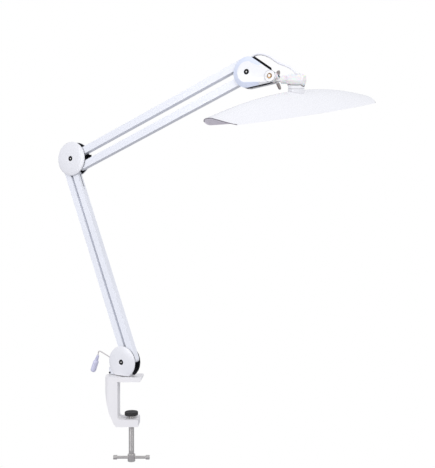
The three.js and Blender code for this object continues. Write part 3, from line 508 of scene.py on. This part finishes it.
def head_cover(side, face):
    """Teardrop cover: a bevelled round end that runs out flat to the nose round the tilt bolt. The bevel of
    the round end is coloured greyer as painted shade.
    """
    lean = math.atan2(TILT_AT[1], TILT_AT[0])
    reach = math.hypot(*TILT_AT)
    edge_angle = lean + math.acos((HEAD_RADIUS - NOSE_RADIUS) / reach)
    edge = Vector((math.cos(edge_angle), math.sin(edge_angle)))

    def outline(big, small, inset=0.0, count=60, straight=10):
        """Points round both circles and their tangents. The upper edge is drawn in to UPPER_EDGE."""
        opening = math.acos((big - small) / reach)
        ring = []
        for i in range(count + 1):
            angle = lean + opening + (2 * math.pi - 2 * opening) * i / count
            ring.append(Vector((big * math.cos(angle), big * math.sin(angle))))
        nose = []
        for i in range(count // 2 + 1):
            angle = lean - opening + 2 * opening * i / (count // 2)
            nose.append(Vector((TILT_AT[0] + small * math.cos(angle), TILT_AT[1] + small * math.sin(angle))))
        lower = [ring[-1].lerp(nose[0], k / straight) for k in range(1, straight)]
        upper = [nose[-1].lerp(ring[0], k / straight) for k in range(1, straight)]
        found = []
        for point in [*ring, *lower, *nose, *upper]:
            beyond = max(0, point.dot(edge) - (UPPER_EDGE - inset))
            found.append(tuple(point - edge * beyond))
        return found

    top = COVER_FOOT + COVER_HEIGHT
    rings = [
        (outline(HEAD_RADIUS - 0.3, NOSE_RADIUS - 0.3, 0.3), COVER_FOOT),
        (outline(HEAD_RADIUS, NOSE_RADIUS), COVER_FOOT + 0.4),
        (outline(HEAD_RADIUS, NOSE_RADIUS), COVER_FOOT + 1.3),
        (outline(HEAD_RADIUS - 0.5, NOSE_RADIUS - 0.1, 0.1), COVER_FOOT + 1.7),
        (outline(20.5, NOSE_RADIUS - 0.5, 0.6), top - 0.5),
        (outline(19.6, NOSE_RADIUS - 0.7, 0.9), top - 0.1),
        (outline(18.6, NOSE_RADIUS - 0.9, 1.2), top),
    ]
    points, faces = [], []
    count = len(rings[0][0])
    for ring, height in rings:
        points += [(x, side * height, z) for x, z in ring]
    for layer in range(len(rings) - 1):
        for i in range(count):
            a = layer * count + i
            b = layer * count + (i + 1) % count
            faces.append((a, b, b + count, a + count))
    faces.append(tuple(range(count)))
    faces.append(tuple((len(rings) - 1) * count + i for i in range(count)))
    mesh = mesh_from(f"head_dome_{face}", points, faces, HEAD)
    add_piece(f"head_dome_{face}", mesh, [SOFT, RIM_PAINTED_SHADE], f"head_cover_{face}")
    # outward-sloping faces on the round end take the painted shade colour
    outward = (HEAD.to_3x3() @ Vector((0, side, 0))).normalized()
    back = HEAD.inverted()
    for polygon in mesh.polygons:
        slope = polygon.normal.dot(outward)
        on_round_end = (back @ polygon.center).x < PAINTED_SHADE_RIM_END
        polygon.material_index = 1 if 0.2 < slope < 0.995 and on_round_end else 0


for side, face in ((-1, "front"), (1, "rear")):
    head_cover(side, face)
    refine(f"head_plate_{face}", PIT, 0.15)


def build_bolts(joint, matrix, proud):
    """A matt black ring on both sides, a pale domed cap in the front one as a painted highlight on the bolt
    head, the shank and the nut.
    """
    face = COVER_FOOT + COVER_HEIGHT
    ring_face = face + proud
    body = BODY_OF[f"{joint}_bolt"]
    ring = [(1.3, ring_face - 0.7), (5.2, ring_face - 0.7), (5.2, ring_face - 0.1), (5, ring_face),
            (1.6, ring_face), (1.3, ring_face - 0.2)]
    # the pale cap: a painted highlight
    cap = [(0.01, ring_face - 0.6), (1.3, ring_face - 0.6), (1.3, ring_face), (1.1, ring_face + 0.3),
           (0.7, ring_face + 0.45), (0.01, ring_face + 0.5)]
    shank = [(0.01, -face + 1.4), (2.4, -face + 1.4), (3, -face + 2), (3, face + 0.6),
             (2.5, face + 1), (0.01, face + 1)]
    for side, name in ((-1, "front"), (1, "rear")):
        add_turned(f"{joint}_ring_{name}", ring, 64, side, matrix, PIT, body=body, slot="black_paint")
    add_turned(f"{joint}_bolt_cap_painted_highlight", cap, 40, -1, matrix, PALE_PAINTED_HIGHLIGHT, body=body, slot="white_plastic")
    add_turned(f"{joint}_bolt_shank", shank, 40, 1, matrix, DARK_BRASS, f"{joint}_bolt")
    refine(f"{joint}_nut", STEEL, 0.3)


build_bolts("base", ARM, -0.5)
build_bolts("elbow", ELBOW, -0.5)
build_bolts("head", HEAD, 0.35)

# -------------------------------------------------- arm bars, their springs and cables
for bar in ("lower_bar_left", "lower_bar_right", "upper_bar_top", "upper_bar_bottom"):
    refine(bar, PAINT, 0.7)


def bar_frame(start, finish_at):
    """The frame of a bar, with X from its first pin to its last."""
    run = finish_at - start
    return ARM @ Matrix.Translation(start) @ Matrix.Rotation(-math.atan2(run.z, run.x), 4, "Y")


def at(pin, base=Vector((0, 0, 0))):
    """A pin's (x, z) as a point in the arm's plane."""
    return base + Vector((pin[0], 0, pin[1]))


LOWER_RIGHT_START = at(BASE_PINS[1])
LOWER_RIGHT_END = at(ELBOW_LOWER_PINS[1], ELBOW_AT)
LOWER_RIGHT = bar_frame(LOWER_RIGHT_START, LOWER_RIGHT_END)
LOWER_LEFT = bar_frame(at(BASE_PINS[0]), at(ELBOW_LOWER_PINS[0], ELBOW_AT))
UPPER_BOTTOM = bar_frame(at(ELBOW_UPPER_PINS[1], ELBOW_AT), at(HEAD_PINS[1], HEAD_AT))
SPRING_START = 18
SPRING_LENGTH = 170
SPRING_WIRE = 0.75
SPRING_OUTER = 3.9
SPRING_OFFSET = 0.6


def build_spring(name, matrix, node):
    """A coil spring with a straight lead-in at both ends, lying in its bar's channel."""
    coils, per_coil, hook = 58, 14, 12
    radius = SPRING_OUTER - SPRING_WIRE
    close = SPRING_LENGTH - 2 * hook
    route = [Vector((SPRING_START + SPRING_WIRE, SPRING_OFFSET, 0)),
             Vector((SPRING_START + hook * 0.5, SPRING_OFFSET, 0.3))]
    for i in range(coils * per_coil + 1):
        angle = 2 * math.pi * i / per_coil
        route.append(Vector((
            SPRING_START + hook + close * i / (coils * per_coil),
            SPRING_OFFSET + radius * math.cos(angle),
            radius * math.sin(angle),
        )))
    end = SPRING_START + SPRING_LENGTH
    route += [Vector((end - hook * 0.5, SPRING_OFFSET, 0.3)), Vector((end - SPRING_WIRE, SPRING_OFFSET, 0))]
    add_tube(name, route, SPRING_WIRE, 7, matrix, ZINC, node)


build_spring("lower_coil_spring", LOWER_LEFT, "lower_spring")
build_spring("upper_coil_spring", UPPER_BOTTOM, "upper_spring")
for cable in ("lower_cable", "upper_cable"):
    refine(cable, CABLE, 0)


def build_slot_painted_shadow():
    """Black strip behind the cable slot in the right lower bar, with a dot behind the small hole below it:
    painted shade that makes the slot and the hole read dark.
    """
    end = (LOWER_RIGHT_END - LOWER_RIGHT_START).length
    boxes = []
    for x0, x1, y0, y1 in ((end - 45.8, end - 15.2, 0.35, 1.85), (end - 50.3, end - 48.7, 0.4, 1.8)):
        boxes.append([(x, y, z) for z in (-6.75, -5.8) for x, y in ((x0, y0), (x1, y0), (x1, y1), (x0, y1))])
    piece = add_boxes("slot_painted_shadow", boxes, LOWER_RIGHT, PIT, body=BODY_OF["lower_bar_right"],
                      slot="black_plastic")
    bevel(piece, 0.2, 2)


build_slot_painted_shadow()

# -------------------------------------------------- clamp and base block
refine("clamp_frame", JAW, 1.2)
refine("clamp_screw", STEEL, 0.5)
refine("clamp_handle", STEEL, 1.0)
refine("clamp_pad", RUBBER, 0.8)
refine("base_bracket", PAINT, 0.8)
refine("base_washer", BLACK_PLASTIC, 0)
refine("base_lock_screw", BLACK, 0.3)

THREAD_PITCH = 2.0
THREAD_RADIUS = 5.3
THREAD_RIDGE = 0.4
THREAD_BOTTOM = -152
THREAD_TURNS = 38
STEPS_PER_TURN = 16


def build_thread():
    """The screw's thread: a low ridge wound round its shank."""
    route = []
    for i in range(THREAD_TURNS * STEPS_PER_TURN + 1):
        angle = 2 * math.pi * i / STEPS_PER_TURN
        route.append(Vector((
            SCREW_X + THREAD_RADIUS * math.cos(angle),
            THREAD_RADIUS * math.sin(angle),
            THREAD_BOTTOM + THREAD_PITCH * i / STEPS_PER_TURN,
        )))
    add_tube("clamp_screw_thread", route, THREAD_RIDGE, 6, ROW, STEEL, body="screw", slot="steel")


build_thread()

# -------------------------------------------------- head: cable, knuckle, wing nut
head_cable = add_tube("head_cable_loop", catmull(HEAD_CABLE_ROUTE, 6), HEAD_CABLE_RADIUS, 20, HEAD, CABLE,
                      "head_cable", rides=False)
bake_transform(head_cable)
refine("head_cable_grip", BLACK_PLASTIC, 0.4)
refine("knuckle_cable_gland", SOFT, 0.4)
refine("wing_nut", WING, 0.6)
refine("knuckle_tube", CLEAR, 0.5)


def build_washer():
    """The washer beside the cover's nose, a thin dark ring round it as a painted shadow outline, and the tilt
    bolt with its pale cap as a painted highlight.
    """
    face = COVER_FOOT + COVER_HEIGHT
    place = HEAD @ shifted(TILT_AT[0], 0, TILT_AT[1])
    washer = [(3.3, face + 0.3), (10.2, face + 0.3), (10.5, face + 0.6), (10.4, face + 1.1), (10, face + 1.2),
              (3.3, face + 1.2)]
    # a thin dark ring at the washer's edge: painted shadow outline
    shadow_ring = [(10.5, face + 0.32), (10.9, face + 0.32), (10.9, face + 0.62), (10.5, face + 0.62)]
    bolt = [(0.01, -face - 3.2), (2.8, -face - 3.2), (4.4, -face - 2.9), (4.9, -face - 2.2),
            (4.9, -face - 1.3), (3, -face - 1.3), (3, face + 14), (2.4, face + 15), (0.01, face + 15)]
    cap = [(0.01, face + 3.3), (2.5, face + 3.3), (2.8, face + 3.1), (2.8, face + 2.9), (0.01, face + 2.9)]
    add_turned("tilt_washer_white", washer, 72, -1, place, SOFT, "tilt_washer")
    add_turned("tilt_washer_shadow_ring", shadow_ring, 72, -1, place, BLACK_PLASTIC, body="head", slot="black_plastic")
    add_turned("tilt_bolt_finished", bolt, 56, 1, place, BRASS, "tilt_bolt")
    # the pale cap on the tilt bolt: a painted highlight
    add_turned("tilt_bolt_cap_painted_highlight", cap, 40, -1, place, PALE_PAINTED_HIGHLIGHT, body="head", slot="white_plastic")


build_washer()


def build_barrel():
    """The milky barrel, with a groove near one end and a rounded nose at the other."""
    profile = [(0.01, 32.4), (9.4, 32.4), (10.3, 33), (10.5, 34), (10.2, 34.4), (10.2, 35.2), (10.5, 35.6),
               (10.7, 37), (10.7, 60), (10.4, 61.2), (9.6, 63), (8.4, 64.2), (6.4, 64.9), (0.01, 65)]
    place = KNUCKLE @ (shifted(0, 0, -TUBE_DROP) @ turned(-90, "Z"))
    add_turned("barrel", profile, 96, 1, place, CLEAR, "knuckle_barrel")


build_barrel()


# a dark ring in the gap between barrel and saddle: painted shadow
GAP_SHADOW_RADIUS = 15.05
GAP_SHADOW_STEPS = 96
SADDLE_RADIUS = 11.05
SADDLE_HALF_WIDTH = 8
SADDLE_DEPTH = -7.5


def build_neck():
    """The saddle, a thin dark ring that dips round it under the barrel as a painted shadow in the gap, and
    the shade's neck.
    """
    refine("neck_saddle", SOFT, 0.5)
    gap_shadow = []
    for i in range(GAP_SHADOW_STEPS + 1):
        angle = 2 * math.pi * i / GAP_SHADOW_STEPS
        x, y = GAP_SHADOW_RADIUS * math.cos(angle), GAP_SHADOW_RADIUS * math.sin(angle)
        drop = SADDLE_DEPTH
        if abs(y) < SADDLE_HALF_WIDTH:
            drop = -math.sqrt(max(0, SADDLE_RADIUS ** 2 - y * y))
        gap_shadow.append(Vector((x, y, min(drop, SADDLE_DEPTH) - 0.15)))
    add_tube("saddle_gap_shadow", gap_shadow, 0.42, 8, NECK, BLACK_PLASTIC, body="saddle", slot="black_plastic")
    refine("shade_neck", SHELL, 0.5)


build_neck()

# -------------------------------------------------- shade
HALF_LENGTH = 190.8
END_BULGE = 0.11
END_HALF_WIDTH = 42
MIDDLE_HALF_WIDTH = 56.2
CROWN_FALL = 0.71
CROWN_POWER = 1.5
REAR_DROP = 18
REAR_RISE = 9.6
CORNER_START = 0.92  # the rear edge's corners are rounded off from here to the ends
CORNER_RISE = 0.75


def shade_point(s, t, inset):
    """Where s along and t across, each from -1 to 1, lie on the shade, with its skin drawn in by inset."""
    half_width = END_HALF_WIDTH + (MIDDLE_HALF_WIDTH - END_HALF_WIDTH) * (1 - s * s)
    crown = SHADE_CROWN * (1 - CROWN_FALL * s * s)
    along = HALF_LENGTH * s * (1 + END_BULGE * (1 - t * t))
    corner = max(0, (abs(s) - CORNER_START) / (1 - CORNER_START))
    drop = (REAR_DROP - REAR_RISE * s * s) * (1 - CORNER_RISE * corner ** 2) * max(0, t) ** 4
    rise = crown * (1 - abs(t) ** CROWN_POWER) - drop
    return (along, (half_width - inset) * t, rise - inset * (1 - abs(t) ** 3))


def build_shade():
    """The shade's thin skin, with a mauve-tinted copy of its plastic on the faces that are turned in, as
    painted shade.
    """
    points, faces = grid(lambda s, t, layer: shade_point(s, t, SHADE_WALL * layer), 150, 64)
    mesh = mesh_from("shade_skin", points, faces, SHADE, math.radians(50))
    add_piece("shade_skin", mesh, [SHELL, INSIDE_PAINTED_SHADE], "shade_shell")
    back = SHADE.inverted()
    for polygon in mesh.polygons:
        x, _, z = back @ polygon.center
        outer = shade_point(max(-1, min(1, x / (HALF_LENGTH * 1.05))), 0, 0)[2]
        turned_in = (back.to_3x3() @ polygon.normal).normalized().z < -0.25
        # inward faces under the crown take the painted shade colour
        polygon.material_index = 1 if turned_in and z < outer else 0


LIP_STEPS = 80


def build_end_lip_shadows():
    """A thin dark bead along the arch of each open end, as a painted shadow line on the edge."""
    for side, name in ((-1, "near"), (1, "far")):
        route = []
        for i in range(LIP_STEPS + 1):
            x, y, z = shade_point(side, 0.985 * (2 * i / LIP_STEPS - 1), SHADE_WALL / 2)
            route.append(Vector((x - side * 0.15, y, z)))
        add_tube(f"shade_lip_painted_shadow_{name}", route, 0.75, 8, SHADE, LIP_PAINTED_SHADOW, body="shade", slot="shade_plastic")


build_shade()
build_end_lip_shadows()
refine("lamp_tray", SOFT, 0.6)
refine("led_board", BOARD, 0)
refine("diffuser", OPAL, 0.4)
refine("switch_button", GREY, 0.6)

LED_ROWS = 6
LED_COLUMNS = 31
LED_FIELD_LENGTH = 236  # leaves the switch button's hole clear
LED_FIELD_WIDTH = 46
CHIP_ROOT = (1.4, 5.3)  # half side and height where a chip meets the board
CHIP_FACE = (1.1, 4.6)  # the same at its lit face


def build_leds():
    """Rows of small chips under the board."""
    boxes = []
    for row in range(LED_ROWS):
        for column in range(LED_COLUMNS):
            x = LED_FIELD_LENGTH * (column / (LED_COLUMNS - 1) - 0.5)
            y = LED_FIELD_WIDTH * (row / (LED_ROWS - 1) - 0.5)
            boxes.append([(x + dx * half, y + dy * half, z) for half, z in (CHIP_ROOT, CHIP_FACE)
                          for dx, dy in ((-1, -1), (1, -1), (1, 1), (-1, 1))])
    add_boxes("led_chips", boxes, SHADE, CHIP, body="shade", slot="board")


build_leds()

# -------------------------------------------------- pins, which only need a finish
for node in frame["nodes"]:
    if "_pin_" in node:
        refine(node, STEEL, 0.2)

# -------------------------------------------------- floor, world and lights
FLOOR_BELOW = 0.12
FLOOR_HALF = 6
FLOOR_Z = cad_box[0][2] - FLOOR_BELOW


def camera_only(nodes, links, seen, unseen):
    """Mixes two shaders so that the camera sees the first and light meets the second."""
    path = nodes.new("ShaderNodeLightPath")
    mix = nodes.new("ShaderNodeMixShader")
    links.new(path.outputs["Is Camera Ray"], mix.inputs["Fac"])
    links.new(unseen, mix.inputs[1])
    links.new(seen, mix.inputs[2])
    return mix.outputs["Shader"]


def build_floor():
    """A flat floor: white to the camera, and pale grey to the light it bounces."""
    material = bpy.data.materials.new("floor")
    material.use_nodes = True
    nodes, links = material.node_tree.nodes, material.node_tree.links
    nodes.clear()
    glow = nodes.new("ShaderNodeEmission")
    glow.inputs["Color"].default_value = (1, 1, 1, 1)
    glow.inputs["Strength"].default_value = 1
    matte = nodes.new("ShaderNodeBsdfDiffuse")
    matte.inputs["Color"].default_value = (0.5, 0.5, 0.52, 1)
    output = nodes.new("ShaderNodeOutputMaterial")
    links.new(camera_only(nodes, links, glow.outputs[0], matte.outputs[0]), output.inputs["Surface"])
    mesh = bpy.data.meshes.new("floor")
    corners = [(x * FLOOR_HALF, y * FLOOR_HALF, FLOOR_Z) for x, y in ((-1, -1), (1, -1), (1, 1), (-1, 1))]
    mesh.from_pydata(corners, [], [(0, 1, 2, 3)])
    mesh.materials.append(material)
    floor = bpy.data.objects.new("floor", mesh)
    bpy.context.scene.collection.objects.link(floor)


def build_world():
    """A sky that is brighter above than below: it lights the lamp, and the camera sees plain white."""
    world = bpy.data.worlds.new("world")
    world.use_nodes = True
    bpy.context.scene.world = world
    nodes, links = world.node_tree.nodes, world.node_tree.links
    nodes.clear()
    direction = nodes.new("ShaderNodeTexCoord")
    split = nodes.new("ShaderNodeSeparateXYZ")
    links.new(direction.outputs["Generated"], split.inputs[0])
    ramp = nodes.new("ShaderNodeMapRange")
    ramp.inputs["From Min"].default_value = -0.35
    ramp.inputs["From Max"].default_value = 0.15
    ramp.inputs["To Min"].default_value = 0.35
    ramp.inputs["To Max"].default_value = 0.84
    links.new(split.outputs["Z"], ramp.inputs["Value"])
    sky = nodes.new("ShaderNodeBackground")
    sky.inputs["Color"].default_value = (0.95, 0.96, 1, 1)
    links.new(ramp.outputs["Result"], sky.inputs["Strength"])
    plain = nodes.new("ShaderNodeBackground")
    plain.inputs["Color"].default_value = (1, 1, 1, 1)
    plain.inputs["Strength"].default_value = 1
    output = nodes.new("ShaderNodeOutputWorld")
    links.new(camera_only(nodes, links, plain.outputs[0], sky.outputs[0]), output.inputs["Surface"])


build_floor()
build_world()


def area_light(name, place, target, size, power, colour=(1, 1, 1)):
    data = bpy.data.lights.new(name, "AREA")
    data.shape = "RECTANGLE"
    data.size, data.size_y = size
    data.energy = power
    data.color = colour
    light = bpy.data.objects.new(name, data)
    light.location = place
    light.rotation_euler = (Vector(target) - Vector(place)).to_track_quat("-Z", "Y").to_euler()
    bpy.context.scene.collection.objects.link(light)


MIDDLE = (0.15, 0, 0.32)
area_light("key", (1.3, -1.5, 1.2), MIDDLE, (0.9, 0.9), 12)
area_light("fill", (-1.5, -1.6, 0.6), MIDDLE, (1.2, 1.2), 14, (0.97, 0.975, 1))

bpy.context.scene.view_settings.view_transform = "Standard"
